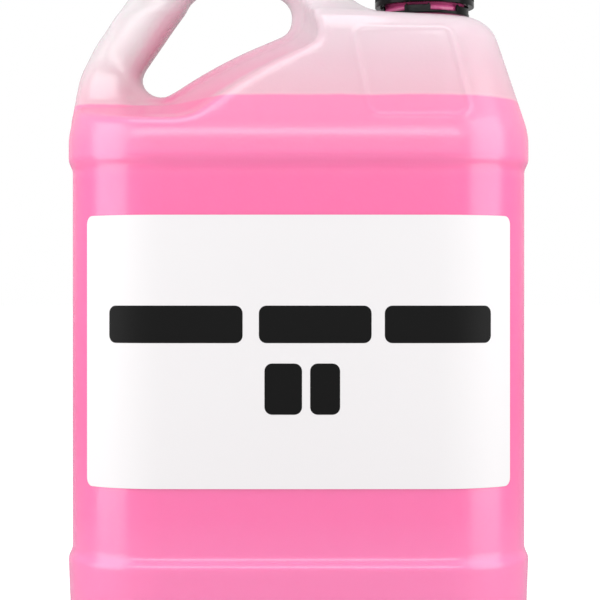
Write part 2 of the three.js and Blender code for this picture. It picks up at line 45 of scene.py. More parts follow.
# The can, in millimetres and in the CAD model's frame
can = {
    "width": 190.0, "depth": 138.0, "cornerRadius": 40.0, "leastCorner": 2.0, "wall": 1.2,
    "faceBow": 1.0, "bowFade": 4, "baseRadius": 8.0,
    "pocketInset": 16.4, "pushUp": 2.5, "pocketBlend": 2.0,
    # The side's outline: heights and how far it stands in there, then how softly each bend turns
    "knots": [(0.0, 1.2), (30.3, 0.0), (33.4, 1.7), (189.0, 1.7), (192.1, 0.0), (204.1, 0.0)],
    "softness": [1.5, 1.5, 1.5, 1.5, 5.0],
    "collarTop": 204.1, "lean": math.radians(18.6), "leanEase": 10, "leanTop": 248.1,
    "shoulderRadius": 9.0, "topTilt": 0.05, "topCrown": 0.0012, "fill": 217.1,
}
can["top"] = can["leanTop"] + can["shoulderRadius"] * (1 - math.sin(can["lean"]))
grip = {
    "thickness": 22.0, "depth": 26.0, "round": 9.0, "bend": 21.1, "kneeBend": 36.0,
    "foot": (-83.6, 200.1), "knee": (-81.3, 232.2), "topLeft": (-49.4, 277.8),
    "topRight": (8.9, 277.8), "rightFoot": (8.9, 244.0),
    "lowEye": (-58.6, 231.0, 8.7), "blend": 3.0,
}
pinch = {
    "web": 12.0, "face": 62.0, "flare": 3.5, "lean": 14.0, "reach": 60.0,
    "crease": 3.0, "valley": 7.0, "edge": 3.0,
    # The hollow's corners where it meets the shoulder: x, z and radius
    "outerLow": (-51.0, 233.5, 25.0), "outerRight": (4.0, 241.9, 5.5), "outerLean": 15.8,
    "bulge": 1.6, "bulgeRadius": 200.0, "bulgeBlend": 1.0, "slopeScale": 0.975, "flarePower": 2.5,
}
rightRoot = {
    "bottom": 250.0, "top": 270.0, "flare": 17.0, "halfDepth": 47.0, "blend": 12.0,
    "bendShare": 0.9, "flarePower": 1.3, "thinShare": 0.38, "depthPower": 1.9,
    "cornerShare": 0.8, "slopeScale": 0.8, "topBlend": 4.0, "below": 10,
}
leftRoot = {
    "bottom": 203.0, "top": 239.0, "spread": 10.0, "halfDepth": 36.0, "blend": 4.0,
    "sideInset": 0.4, "footTuck": 3, "tuckFrom": 210, "tuckOver": 8, "topTuck": 5, "topPower": 3,
    "edgeShare": 0.6, "spreadPower": 2.2, "thinShare": 0.4, "depthPower": 1.2,
    "cornerShare": 0.8, "mostCorner": 10.0, "slopeScale": 0.9, "topBlend": 12.0, "below": 6,
}
neck = {
    "x": 54.0, "radius": 17.0, "bore": 14.6, "height": 22.6, "fillet": 5.0,
    "beadStand": 0.9, "beadMiddle": 4.5, "beadHalf": 0.9, "beadPower": 0.7,
    "rimRadius": 0.5, "below": 12,
}
emboss = {
    "corners": [(21.6, 245.2), (60.9, 245.2), (68.7, 208.4), (28.6, 208.4)],
    "radius": 4.5, "height": 0.6, "width": 1.1,
    "fadeFrom": 205, "fadeOver": 12, "frontFrom": 30, "frontOver": 10,
}
fillIn = {"gap": 0.3, "edge": 1.2}


# Fields are negative inside a form, and in millimetres near its surface

def softBend(z, start, softness):
    d = z - start
    knee = (d + softness) ** 2 / (4 * softness)
    return np.where(d < -softness, 0.0, np.where(d > softness, d, knee))


def smoothMax(a, b, blend):
    h = np.maximum(blend - np.abs(a - b), 0.0) / blend
    return np.maximum(a, b) + h * h * blend / 4


def smoothMin(a, b, blend):
    return -smoothMax(-a, -b, blend)


def roundMax(a, b, radius):
    corner = np.hypot(np.maximum(a + radius, 0.0), np.maximum(b + radius, 0.0))
    return np.minimum(-radius, np.maximum(a, b)) + corner


def roundedBox(x, y, halfX, halfY, radius):
    qx = np.abs(x) - (halfX - radius)
    qy = np.abs(y) - (halfY - radius)
    outside = np.hypot(np.maximum(qx, 0.0), np.maximum(qy, 0.0))
    return outside + np.minimum(np.maximum(qx, qy), 0.0) - radius


def reachOf(circles, nx, nz):
    return max(cx * nx + cz * nz + r for cx, cz, r in circles)


def beltDistance(x, z, circles, growth=0.0, outer=None, share=0.0, directions=64):
    # Distance from the belt round some circles, or from a blend of two such belts
    best = np.full(np.broadcast(x, z, share).shape, -1e9)
    for angle in np.linspace(0, 2 * math.pi, directions, endpoint=False):
        nx, nz = math.cos(angle), math.sin(angle)
        reach = reachOf(circles, nx, nz) + growth
        if outer:
            reach = reach + share * (reachOf(outer, nx, nz) - reach)
        best = np.maximum(best, x * nx + z * nz - reach)
    return best


def pathDistance(x, z, points):
    best = np.full(np.broadcast(x, z).shape, 1e9)
    for (ax, az), (bx, bz) in zip(points, points[1:]):
        dx, dz = bx - ax, bz - az
        t = np.clip(((x - ax) * dx + (z - az) * dz) / (dx * dx + dz * dz), 0.0, 1.0)
        best = np.minimum(best, np.hypot(x - ax - t * dx, z - az - t * dz))
    return best


def roundedPath(corners, radii, closed=False, steps=10):
    # The corners of a path become arcs; the ends of an open path stay
    count = len(corners)
    line = [] if closed else [corners[0]]
    centres = []
    for i in range(count) if closed else range(1, count - 1):
        corner = np.array(corners[i])
        back = np.array(corners[i - 1]) - corner
        ahead = np.array(corners[(i + 1) % count]) - corner
        back, ahead = back / np.linalg.norm(back), ahead / np.linalg.norm(ahead)
        half = math.acos(np.clip(back @ ahead, -1, 1)) / 2
        middle = (back + ahead) / np.linalg.norm(back + ahead)
        radius = radii[i % len(radii)]
        centre = corner + middle * radius / math.sin(half)
        centres.append(tuple(centre))
        start = corner + back * radius / math.tan(half) - centre
        end = corner + ahead * radius / math.tan(half) - centre
        for t in np.linspace(0, 1, steps + 1):
            spoke = start * (1 - t) + end * t
            line.append(tuple(centre + spoke / np.linalg.norm(spoke) * radius))
    line.append(line[0] if closed else corners[-1])
    return line, centres


gripLine, gripCentres = roundedPath(
    [grip[k] for k in ("foot", "knee", "topLeft", "topRight", "rightFoot")],
    [0, grip["kneeBend"], grip["bend"], grip["bend"], 0],
)
eyeRadius = grip["bend"] - grip["thickness"] / 2
leftEye, rightEye = [(*centre, eyeRadius) for centre in gripCentres[1:]]
openingCircles = [grip["lowEye"], rightEye, leftEye]
farLeft = -can["width"] / 2 - pinch["reach"]
farTop = rightEye[1] + pinch["reach"]
innerCircles = [
    grip["lowEye"], rightEye,
    (rightEye[0] - pinch["lean"], farTop, eyeRadius),
    (farLeft, farTop, eyeRadius),
    (farLeft, *grip["lowEye"][1:]),
]
outerCircles = [
    pinch["outerLow"], pinch["outerRight"],
    (pinch["outerRight"][0] - pinch["outerLean"], farTop, pinch["outerRight"][2]),
    (farLeft, farTop, eyeRadius),
    (farLeft, *pinch["outerLow"][1:]),
]


def chordOf(low, right, growth):
    # The middle of the line that touches two circles from below, and its normal
    lowX, lowZ, lowR = low
    rightX, rightZ, rightR = right
    slant = math.atan2(rightZ - lowZ, rightX - lowX)
    slant += math.asin((lowR - rightR) / math.hypot(rightX - lowX, rightZ - lowZ))
    nx, nz = math.sin(slant), -math.cos(slant)
    middleX = (lowX + rightX + (lowR + rightR) * nx) / 2 + growth * nx
    middleZ = (lowZ + rightZ + (lowR + rightR) * nz) / 2 + growth * nz
    back = pinch["bulgeRadius"] - pinch["bulge"]
    return middleX + back * nx, middleZ + back * nz


eyeHill = chordOf(grip["lowEye"], rightEye, 0.0)
webHill = chordOf(grip["lowEye"], rightEye, pinch["flare"])
faceHill = chordOf(pinch["outerLow"], pinch["outerRight"], 0.0)
embossLine, _ = roundedPath(emboss["corners"], [emboss["radius"]], closed=True, steps=5)


def bodyInset(z):
    knots = can["knots"]
    slopes = [(b[1] - a[1]) / (b[0] - a[0]) for a, b in zip(knots, knots[1:])]
    slopes.append(math.tan(can["lean"]))
    inset = knots[0][1] + slopes[0] * z
    for knot, before, after, soft in zip(knots[1:], slopes, slopes[1:], can["softness"]):
        inset = inset + (after - before) * softBend(z, knot[0], soft)
    return inset


def bodyField(x, y, z):
    inset = bodyInset(z)
    halfWidth = can["width"] / 2 - inset
    bow = can["faceBow"] * np.clip(1 - can["bowFade"] * inset / can["depth"], 0, 1)
    halfDepth = can["depth"] / 2 - inset - bow * np.clip(x / halfWidth, -1, 1) ** 2
    corner = np.maximum(can["cornerRadius"] - inset, can["leastCorner"])
    side = roundedBox(x, y, halfWidth, halfDepth, corner)
    leaning = np.clip((z - can["collarTop"]) / can["leanEase"], 0, 1)
    side = side * (1 - (1 - math.cos(can["lean"])) * leaning)
    top = z - can["top"] - can["topTilt"] * (neck["x"] - x) + can["topCrown"] * y**2
    field = roundMax(side, top, can["shoulderRadius"])
    field = roundMax(field, -z, can["baseRadius"])
    p = can["pocketInset"]
    pocket = roundedBox(x, y, can["width"] / 2 - p, can["depth"] / 2 - p, can["cornerRadius"] - p)
    return smoothMax(field, -np.maximum(pocket, z - can["pushUp"]), can["pocketBlend"])


def rootDepth(root, share):
    thin = grip["depth"] * root["thinShare"]
    return thin + (root["halfDepth"] - thin) * (1 - share) ** root["depthPower"]


def cutRoot(root, side, z):
    field = smoothMax(side * root["slopeScale"], z - root["top"], root["topBlend"])
    return np.maximum(field, root["bottom"] - root["below"] - z)


def rightRootField(x, y, z):
    root = rightRoot
    share = np.clip((z - root["bottom"]) / (root["top"] - root["bottom"]), 0, 1)
    outer = grip["bend"] + grip["thickness"] / 2
    rise = np.clip(z - rightEye[1], 0, outer * root["bendShare"])
    right = rightEye[0] + np.sqrt(outer**2 - rise**2)
    right = right + root["flare"] * (1 - share) ** root["flarePower"]
    halfDepth = rootDepth(root, share)
    halfWidth = (right - rightEye[0]) / 2
    radius = root["cornerShare"] * np.minimum(halfWidth, halfDepth)
    side = roundedBox(x - rightEye[0] - halfWidth, y, halfWidth, halfDepth, radius)
    return cutRoot(root, side, z)


def leftRootField(x, y, z):
    root = leftRoot
    share = np.clip((z - root["bottom"]) / (root["top"] - root["bottom"]), 0, 1)
    wayX, wayZ = np.array(grip["topLeft"]) - np.array(grip["knee"])
    edge = grip["thickness"] / 2 * math.hypot(wayX, wayZ) / wayZ
    onLeg = grip["knee"][0] + (z - grip["knee"][1]) * wayX / wayZ
    tuck = root["footTuck"] * np.clip((root["tuckFrom"] - z) / root["tuckOver"], 0, 1)
    left = -can["width"] / 2 + root["sideInset"] + tuck
    left = left + root["topTuck"] * share ** root["topPower"]
    right = np.maximum(onLeg, grip["knee"][0]) + edge * root["edgeShare"]
    right = right + root["spread"] * (1 - share) ** root["spreadPower"]
    halfDepth = rootDepth(root, share)
    halfWidth = (right - left) / 2
    radius = root["cornerShare"] * np.minimum(halfWidth, halfDepth)
    radius = np.minimum(radius, root["mostCorner"])
    side = roundedBox(x - (left + right) / 2, y, halfWidth, halfDepth, radius)
    return cutRoot(root, side, z)


def gripField(y, onLine):
    return roundedBox(onLine, y, grip["thickness"] / 2, grip["depth"] / 2, grip["round"])


def neckField(x, y, z):
    up = z - can["top"]
    bead = 1 - ((up - neck["beadMiddle"]) / neck["beadHalf"]) ** 2
    radius = neck["radius"] + neck["beadStand"] * np.clip(bead, 0, 1) ** neck["beadPower"]
    stem = np.hypot(x - neck["x"], y) - radius
    return np.maximum(roundMax(stem, up - neck["height"], neck["rimRadius"]), -neck["below"] - up)


def embossField(x, y, z):
    ridge = emboss["height"] * np.exp(-((pathDistance(x, z, embossLine) / emboss["width"]) ** 2))
    fadeUp = np.clip((z - emboss["fadeFrom"]) / emboss["fadeOver"], 0, 1)
    fadeFront = np.clip((-y - emboss["frontFrom"]) / emboss["frontOver"], 0, 1)
    return ridge * (fadeUp * fadeFront)


def hillField(x, z, centreX, centreZ):
    return pinch["bulgeRadius"] - np.hypot(x - centreX, z - centreZ)


def hollowField(x, y, z):
    # The pinched hollow on both faces, which widens from the web to the shoulder
    share = (np.abs(y) - pinch["web"]) / (pinch["face"] - pinch["web"])
    plug = beltDistance(x, z, innerCircles, pinch["flare"], outerCircles, share)
    hill = hillField(x, z, webHill[0] + share * (faceHill[0] - webHill[0]),
                     webHill[1] + share * (faceHill[1] - webHill[1]))
    plug = smoothMax(plug, hill, pinch["bulgeBlend"]) * pinch["slopeScale"]
    return smoothMax(plug, pinch["web"] - np.abs(y), pinch["valley"])


def shellField(x, y, z):
    # Distances that depend on the front view alone are worked out once for each column
    flatX, flatZ = (x, z) if x.ndim == 1 else (x[:, :1, :], z[:, :1, :])
    field = smoothMin(bodyField(x, y, z), rightRootField(x, y, z), rightRoot["blend"])
    field = smoothMax(field, -hollowField(x, y, z), pinch["crease"])
    field = smoothMin(field, leftRootField(x, y, z), leftRoot["blend"])
    flare = pinch["flare"] * np.minimum(np.abs(y) / pinch["web"], 1) ** pinch["flarePower"]
    eye = smoothMax(beltDistance(flatX, flatZ, openingCircles),
                    hillField(flatX, flatZ, *eyeHill), pinch["bulgeBlend"]) - flare
    field = smoothMax(field, -eye, pinch["edge"])
    onLine = pathDistance(flatX, flatZ, gripLine)
    field = smoothMin(field, gripField(y, onLine), grip["blend"])
    field = smoothMin(field, neckField(x, y, z), neck["fillet"])
    # The outline is too fine for the grid, so only single points feel it
    if x.ndim == 1:
        field = field - embossField(x, y, z)
    return field


def soapField(x, y, z):
    inside = shellField(x, y, z) + can["wall"] + fillIn["gap"]
    return smoothMax(inside, z - can["fill"], fillIn["edge"])


# Meshes from fields

def spaced(*stretches):
    # Each stretch is (start, end, step)
    parts = [np.arange(a, b - step * 0.5, step) for a, b, step in stretches]
    return np.concatenate([*parts, [stretches[-1][1]]])


def surfaceNet(field, xs, ys, zs):
    gx, gy, gz = np.meshgrid(xs, ys, zs, indexing="ij")
    values = field(gx, gy, gz)
    inside = values < 0
    corners = [(i, j, k) for i in (0, 1) for j in (0, 1) for k in (0, 1)]
    shape = tuple(n - 1 for n in inside.shape)

    def shifted(array, i, j, k):
        return array[i:i + shape[0], j:j + shape[1], k:k + shape[2]]

    filled = sum(shifted(inside, *c).astype(np.int8) for c in corners)
    cells = np.argwhere((filled > 0) & (filled < 8))
    number = np.full(shape, -1)
    number[tuple(cells.T)] = np.arange(len(cells))
    total, hits = np.zeros((len(cells), 3)), np.zeros(len(cells))
    for a in corners:
        for b in corners:
            if sum(b) != sum(a) + 1 or any(q < p for p, q in zip(a, b)):
                continue
            ia, ib = (tuple((cells + np.array(c)).T) for c in (a, b))
            va, vb = values[ia], values[ib]
            cut = (va < 0) != (vb < 0)
            t = np.where(cut, va / np.where(cut, va - vb, 1), 0)
            pa = np.stack([xs[ia[0]], ys[ia[1]], zs[ia[2]]], 1)
            pb = np.stack([xs[ib[0]], ys[ib[1]], zs[ib[2]]], 1)
            total += np.where(cut[:, None], pa + (pb - pa) * t[:, None], 0)
            hits += cut
    points = total / hits[:, None]
    quads = []
    for axis in range(3):
        first, second = (axis + 1) % 3, (axis + 2) % 3
        low = inside[tuple(slice(0, -1) if d == axis else slice(1, -1) for d in range(3))]
        high = inside[tuple(slice(1, None) if d == axis else slice(1, -1) for d in range(3))]
        at = np.argwhere(low != high)
        outward = low[tuple(at.T)]
        at[:, first] += 1
        at[:, second] += 1
        ring = []
        for da, db in ((-1, -1), (0, -1), (0, 0), (-1, 0)):
            cell = at.copy()
            cell[:, first] += da
            cell[:, second] += db
            ring.append(number[tuple(cell.T)])
        ring = np.stack(ring, 1)
        quads.append(np.where(outward[:, None], ring, ring[:, ::-1]))
    return points, np.concatenate(quads)


def slope(field, points, reach=0.02):
    x, y, z = points.T
    steps = np.eye(3) * reach
    sides = [field(*(points + s).T) - field(*(points - s).T) for s in steps]
    return np.stack(sides, 1) / (2 * reach)


def settle(field, points, rounds=4, least=0.2, longest=1.5):
    # Each point slides along the field's slope on to the surface itself
    for _ in range(rounds):
        gradient = slope(field, points)
        step = field(*points.T) / np.maximum((gradient**2).sum(1), least)
        points = points - gradient * np.clip(step, -longest, longest)[:, None]
    return points


def relax(points, quads, field, share=0.5):
    # Points even out over the surface, and then go back on to it
    total, hits = np.zeros_like(points), np.zeros(len(points))
    for a, b in ((0, 1), (1, 2), (2, 3), (3, 0)):
        np.add.at(total, quads[:, a], points[quads[:, b]])
        np.add.at(total, quads[:, b], points[quads[:, a]])
        np.add.at(hits, quads[:, a], 1)
        np.add.at(hits, quads[:, b], 1)
    return settle(field, points + (total / hits[:, None] - points) * share, 2)


def meshPiece(name, points, faces, material, scale=mm):
    mesh = bpy.data.meshes.new(name)
    mesh.from_pydata((np.asarray(points) * scale).tolist(), [], [list(f) for f in faces])
    mesh.validate()
    mesh.polygons.foreach_set("use_smooth", [True] * len(mesh.polygons))
    mesh.update()
    piece = bpy.data.objects.new(name, mesh)
    bpy.context.scene.collection.objects.link(piece)
    piece.data.materials.append(material)
    return piece


def refine(points, faces, wanted, field, cuts):
    # Faces that hold fine detail are divided and settled again
    mesh = bmesh.new()
    verts = [mesh.verts.new(p) for p in points]
    made = [mesh.faces.new([verts[i] for i in f]) for f in faces]
    chosen = [f for f, w in zip(made, wanted) if w]
    edges = list({e for f in chosen for e in f.edges})
    bmesh.ops.subdivide_edges(mesh, edges=edges, cuts=cuts, use_grid_fill=True)
    bmesh.ops.triangulate(mesh, faces=[f for f in mesh.faces if len(f.verts) > 4])
    mesh.verts.index_update()
    before = len(points)
    moved = np.array([v.co[:] for v in mesh.verts])
    fresh = np.arange(len(moved)) >= before
    moved[fresh] = settle(field, moved[fresh])
    out = [[v.index for v in f.verts] for f in mesh.faces]
    mesh.free()
    return moved, out


# Materials

def linear(*rgb):
    out = [(c / 255 / 12.92) if c <= 10 else ((c / 255 + 0.055) / 1.055) ** 2.4 for c in rgb]
    return (*out, 1.0)


def addNode(tree, kind, inputs=None, **settings):
    node = tree.nodes.new(kind)
    for key, value in settings.items():
        setattr(node, key, value)
    for key, value in (inputs or {}).items():
        if isinstance(value, bpy.types.NodeSocket):
            tree.links.new(value, node.inputs[key])
        else:
            node.inputs[key].default_value = value
    return node


def shaderGroup(name, inputs, *outputs):
    # A group of shader nodes with plain numbers in and out, and the place on the piece
    group = bpy.data.node_groups.new(name, "ShaderNodeTree")
    for title, default in inputs.items():
        socket = group.interface.new_socket(title, in_out="INPUT", socket_type="NodeSocketFloat")
        socket.default_value = default
    for title in outputs:
        group.interface.new_socket(title, in_out="OUTPUT", socket_type="NodeSocketFloat")
    start = group.nodes.new("NodeGroupInput")
    end = group.nodes.new("NodeGroupOutput")
    place = addNode(group, "ShaderNodeTexCoord").outputs["Object"]
    return group, start, end, place


def product(tree, a, b):
    return addNode(tree, "ShaderNodeMath", {0: a, 1: b}, operation="MULTIPLY").outputs[0]


def fade(tree, value, none, full):
    # Rises evenly from nought at one place to one at the other, both in millimetres
    share = addNode(tree, "ShaderNodeMapRange", {
        "Value": value, "From Min": none * mm, "From Max": full * mm})
    return share.outputs["Result"]


def makeMouldedGrain():
    # Fine orange peel and slow unevenness of a blown or moulded surface
    inputs = {"Peel Scale": 900.0, "Slow Scale": 25.0, "Peel Share": 0.4}
    group, start, end, place = shaderGroup("mouldedGrain", inputs, "Height")
    peel = addNode(group, "ShaderNodeTexNoise", {
        "Vector": place, "Scale": start.outputs["Peel Scale"], "Detail": 2.0})
    slow = addNode(group, "ShaderNodeTexNoise", {
        "Vector": place, "Scale": start.outputs["Slow Scale"], "Detail": 3.0})
    both = addNode(group, "ShaderNodeMix", {
        "Factor": start.outputs["Peel Share"], "A": slow.outputs["Fac"], "B": peel.outputs["Fac"]})
    group.links.new(both.outputs["Result"], end.inputs["Height"])
    return group


mouldedGrain = makeMouldedGrain()


def plainMaterial(name, colour, roughness, specular):
    material = bpy.data.materials.new(name)
    material.use_nodes = True
    shader = material.node_tree.nodes["Principled BSDF"]
    shader.inputs["Base Color"].default_value = colour
    shader.inputs["Roughness"].default_value = roughness
    shader.inputs["Specular IOR Level"].default_value = specular
    return material, material.node_tree, shader


def addGrain(tree, shader, peel, slow, share, distance, strength):
    grain = addNode(tree, "ShaderNodeGroup", node_tree=mouldedGrain)
    grain.inputs["Peel Scale"].default_value = peel
    grain.inputs["Slow Scale"].default_value = slow
    grain.inputs["Peel Share"].default_value = share
    bump = addNode(tree, "ShaderNodeBump", {
        "Height": grain.outputs["Height"], "Distance": distance, "Strength": strength})
    tree.links.new(bump.outputs["Normal"], shader.inputs["Normal"])
    return bump.outputs["Normal"]


def addScatter(shader, look):
    shader.inputs["Subsurface Weight"].default_value = look["scatter"]
    shader.inputs["Subsurface Radius"].default_value = look["scatterReach"]


# Each grain: peel scale, slow scale, share of peel, depth in metres and strength
plastic = {
    # Heights in millimetres and the colour there, below and above the liquid's surface. The
    # lighter stops from 193 to 216.3 are painted light on the collar band and the shoulder
    "heights": [(0, (255, 126, 178)), (30, (255, 124, 177)), (49, (255, 113, 169)),
                (90, (255, 105, 163)), (184, (255, 105, 163)), (193, (255, 120, 172)),
                (205, (255, 129, 174)), (216.3, (255, 130, 174)), (216.8, (255, 122, 170)),
                (217.2, (233, 179, 194)), (217.7, (227, 170, 186)),
                (232, (225, 180, 194)), (252, (228, 201, 212)), (290, (226, 216, 220))],
    "handleColour": (212, 206, 207), "handleShare": 0.55, "handleFrom": -40.0, "handleTo": -58.0,
    "handleLow": 1.0, "handleHigh": 22.0,
    # Painted shade: darker pink in the pinched hollow, which fades in from the first place to the
    # second
    "hollowShadeColour": (255, 66, 148), "hollowShadeShare": 0.6, "hollowDepth": (60.0, 50.0),
    "hollowLeft": (-66.0, -56.0), "hollowRight": (8.0, -6.0),
    "hollowFoot": (200.0, 204.0), "hollowHead": (262.0, 214.0),
    "neckColour": (232, 92, 150), "neckNear": 1.5, "neckFar": 3.5, "neckLow": 0.2, "neckHigh": 2.4,
    "roughness": 0.25, "alpha": 0.85, "ior": 1.54, "specular": 0.75,
    "scatter": 0.35, "scatterReach": (0.012, 0.006, 0.008),
    "seamHalf": 0.5, "seamDistance": 0.0002, "swell": 0.9, "swellScale": 70.0,
    "grain": (700.0, 30.0, 0.25, 0.0006, 0.25),
}


def makePartingLine():
    # A fine raised line where the two halves of the mould met
    group, start, end, place = shaderGroup("partingLine", {"Half Width": 0.0005}, "Height")
    across = addNode(group, "ShaderNodeSeparateXYZ", {"Vector": place}).outputs["Y"]
    away = addNode(group, "ShaderNodeMath", {0: across}, operation="ABSOLUTE")
    line = addNode(group, "ShaderNodeMapRange", {
        "Value": away.outputs[0], "From Max": start.outputs["Half Width"],
        "To Min": 1.0, "To Max": 0.0}, interpolation_type="SMOOTHSTEP")
    group.links.new(line.outputs["Result"], end.inputs["Height"])
    return group


def makeNeckMask():
    # One on the neck, which stands out of the can's top, and nought elsewhere
    group, _, end, place = shaderGroup("neckMask", {}, "Mask")
    foot = addNode(group, "ShaderNodeVectorMath", {
        0: place, 1: (neck["x"] * mm, 0, can["top"] * mm)}, operation="SUBTRACT").outputs[0]
    flat = addNode(group, "ShaderNodeVectorMath", {0: foot, 1: (1, 1, 0)}, operation="MULTIPLY")
    reach = addNode(group, "ShaderNodeVectorMath", {0: flat.outputs[0]}, operation="LENGTH")
    near = addNode(group, "ShaderNodeMapRange", {
        "Value": reach.outputs["Value"], "From Min": (neck["radius"] + plastic["neckNear"]) * mm,
        "From Max": (neck["radius"] + plastic["neckFar"]) * mm, "To Min": 1.0, "To Max": 0.0})
    up = addNode(group, "ShaderNodeSeparateXYZ", {"Vector": foot}).outputs["Z"]
    above = fade(group, up, plastic["neckLow"], plastic["neckHigh"])
    group.links.new(product(group, near.outputs["Result"], above), end.inputs["Mask"])
    return group


def makeHandleMask():
    # Up to one on the handle, whose wall is drawn thin and holds no liquid
    group, _, end, place = shaderGroup("handleMask", {}, "Mask")
    axes = addNode(group, "ShaderNodeSeparateXYZ", {"Vector": place})
    left = fade(group, axes.outputs["X"], plastic["handleFrom"], plastic["handleTo"])
    above = fade(group, axes.outputs["Z"], can["fill"] + plastic["handleLow"],
                 can["fill"] + plastic["handleHigh"])
    group.links.new(product(group, left, above), end.inputs["Mask"])
    return group


def makeHollowShadeMask():
    # Up to one in the pinched hollow, where darker pink is painted as the hollow's shade
    group, _, end, place = shaderGroup("hollowShadeMask", {}, "Mask")
    axes = addNode(group, "ShaderNodeSeparateXYZ", {"Vector": place})
    depth = addNode(group, "ShaderNodeMath", {0: axes.outputs["Y"]}, operation="ABSOLUTE")
    mask = None
    for value, side in (
        (depth.outputs[0], "hollowDepth"), (axes.outputs["X"], "hollowLeft"),
        (axes.outputs["X"], "hollowRight"), (axes.outputs["Z"], "hollowFoot"),
        (axes.outputs["Z"], "hollowHead"),
    ):
        share = fade(group, value, *plastic[side])
        mask = product(group, mask, share) if mask else share
    group.links.new(mask, end.inputs["Mask"])
    return group


def makePlastic():
    material, tree, shader = plainMaterial(
        "naturalPlastic", (1, 1, 1, 1), plastic["roughness"], plastic["specular"])
    place = addNode(tree, "ShaderNodeTexCoord").outputs["Object"]
    level = addNode(tree, "ShaderNodeSeparateXYZ", {"Vector": place}).outputs["Z"]
    swell = addNode(tree, "ShaderNodeTexNoise", {
        "Vector": place, "Scale": plastic["swellScale"], "Detail": 2.0})
    height = addNode(tree, "ShaderNodeMath", {
        0: swell.outputs["Fac"], 1: plastic["swell"] * mm, 2: level}, operation="MULTIPLY_ADD")
    lowest, highest = plastic["heights"][0][0], plastic["heights"][-1][0]
    middle = plastic["swell"] / 2
    share = fade(tree, height.outputs[0], lowest + middle, highest + middle)
    ramp = addNode(tree, "ShaderNodeValToRGB", {"Fac": share})
    stops = ramp.color_ramp.elements
    while len(stops) < len(plastic["heights"]):
        stops.new(0.5)
    for stop, (z, colour) in zip(stops, plastic["heights"]):
        stop.position = (z - lowest) / (highest - lowest)
        stop.color = linear(*colour)
    colour = ramp.outputs["Color"]
    for group, shade, share in (
        (makeHandleMask(), "handleColour", plastic["handleShare"]),
        # The pinched hollow's darker pink is painted shade
        (makeHollowShadeMask(), "hollowShadeColour", plastic["hollowShadeShare"]),
        (makeNeckMask(), "neckColour", 1.0),
    ):
        mask = addNode(tree, "ShaderNodeGroup", node_tree=group)
        mix = addNode(tree, "ShaderNodeMix", data_type="RGBA")
        tree.links.new(product(tree, mask.outputs["Mask"], share), mix.inputs["Factor"])
        tree.links.new(colour, mix.inputs[6])
        mix.inputs[7].default_value = linear(*plastic[shade])
        colour = mix.outputs[2]
    tree.links.new(colour, shader.inputs["Base Color"])
    grained = addGrain(tree, shader, *plastic["grain"])
    seam = addNode(tree, "ShaderNodeGroup", node_tree=makePartingLine())
    seam.inputs["Half Width"].default_value = plastic["seamHalf"] * mm
    raised = addNode(tree, "ShaderNodeBump", {
        "Height": seam.outputs["Height"], "Distance": plastic["seamDistance"], "Normal": grained})
    tree.links.new(raised.outputs["Normal"], shader.inputs["Normal"])
    addScatter(shader, plastic)
    shader.inputs["Subsurface Scale"].default_value = 1.0
    shader.inputs["IOR"].default_value = plastic["ior"]
    shader.inputs["Alpha"].default_value = plastic["alpha"]
    return material


looks = {
    "soapLiquid": {"colour": (255, 84, 146), "roughness": 0.12, "specular": 0.5,
                   "scatter": 0.4, "scatterReach": (0.02, 0.006, 0.01)},
    "labelFilm": {"colour": (209, 207, 208), "roughness": 0.55, "specular": 0.2,
                  "grain": (2400.0, 60.0, 0.6, 0.0002, 0.15)},
    "labelInk": {"colour": (3, 3, 3), "roughness": 0.5, "specular": 0.13,
                 "grain": (2400.0, 60.0, 0.6, 0.0002, 0.15)},
    "blackPlastic": {"colour": (2, 2, 2), "roughness": 0.2, "specular": 0.12,
                     "grain": (1600.0, 120.0, 0.5, 0.0003, 0.2)},
    "wadFoam": {"colour": (240, 238, 230), "roughness": 0.75, "specular": 0.5,
                "grain": (3000.0, 200.0, 0.7, 0.0004, 0.4)},
}


def makeLook(name, look):
    material, tree, shader = plainMaterial(
        name, linear(*look["colour"]), look["roughness"], look["specular"])
    if "scatter" in look:
        addScatter(shader, look)
    if "grain" in look:
        addGrain(tree, shader, *look["grain"])
    return material


naturalPlastic = makePlastic()
soapLiquid, labelFilm, labelInk, blackPlastic, wadFoam = [
    makeLook(name, look) for name, look in looks.items()]
print("materials made")


# The can's shell, with its inner wall and the open neck, and the soap in it

# A grid's steps across the width and the depth, and its stretches of height: from, to, step
shellGrid = {
    "steps": (2.5, 2.5),
    "heights": [(-2, 10, 1.3), (10, 27, 3.4), (27, 37, 0.9), (37, 186, 5.0), (186, 209, 1.05),
                (209, 294, 2.3)],
    # Where the grid is divided again, for the neck and the embossed outline
    "neckReach": 4, "neckDown": 1, "panelFront": -30, "panelX": (15, 76), "panelZ": (204, 252),
    "cuts": 2, "rimDown": 0.6,
}
soapGrid = {
    "steps": (3.1, 3.0),
    "heights": [(-2, 12, 1.6), (12, 26, 4.0), (26, 38, 1.2), (38, 184, 7.0), (184, 222, 1.3)],
}
gridMargin, gridMarginRight = 3, 3.2


def fieldSurface(field, grid):
    halfX, halfY = can["width"] / 2, can["depth"] / 2
    xs = spaced((-halfX - gridMargin, halfX + gridMarginRight, grid["steps"][0]))
    ys = spaced((-halfY - gridMargin, halfY + gridMargin, grid["steps"][1]))
    points, faces = surfaceNet(field, xs, ys, spaced(*grid["heights"]))
    return settle(field, points), faces


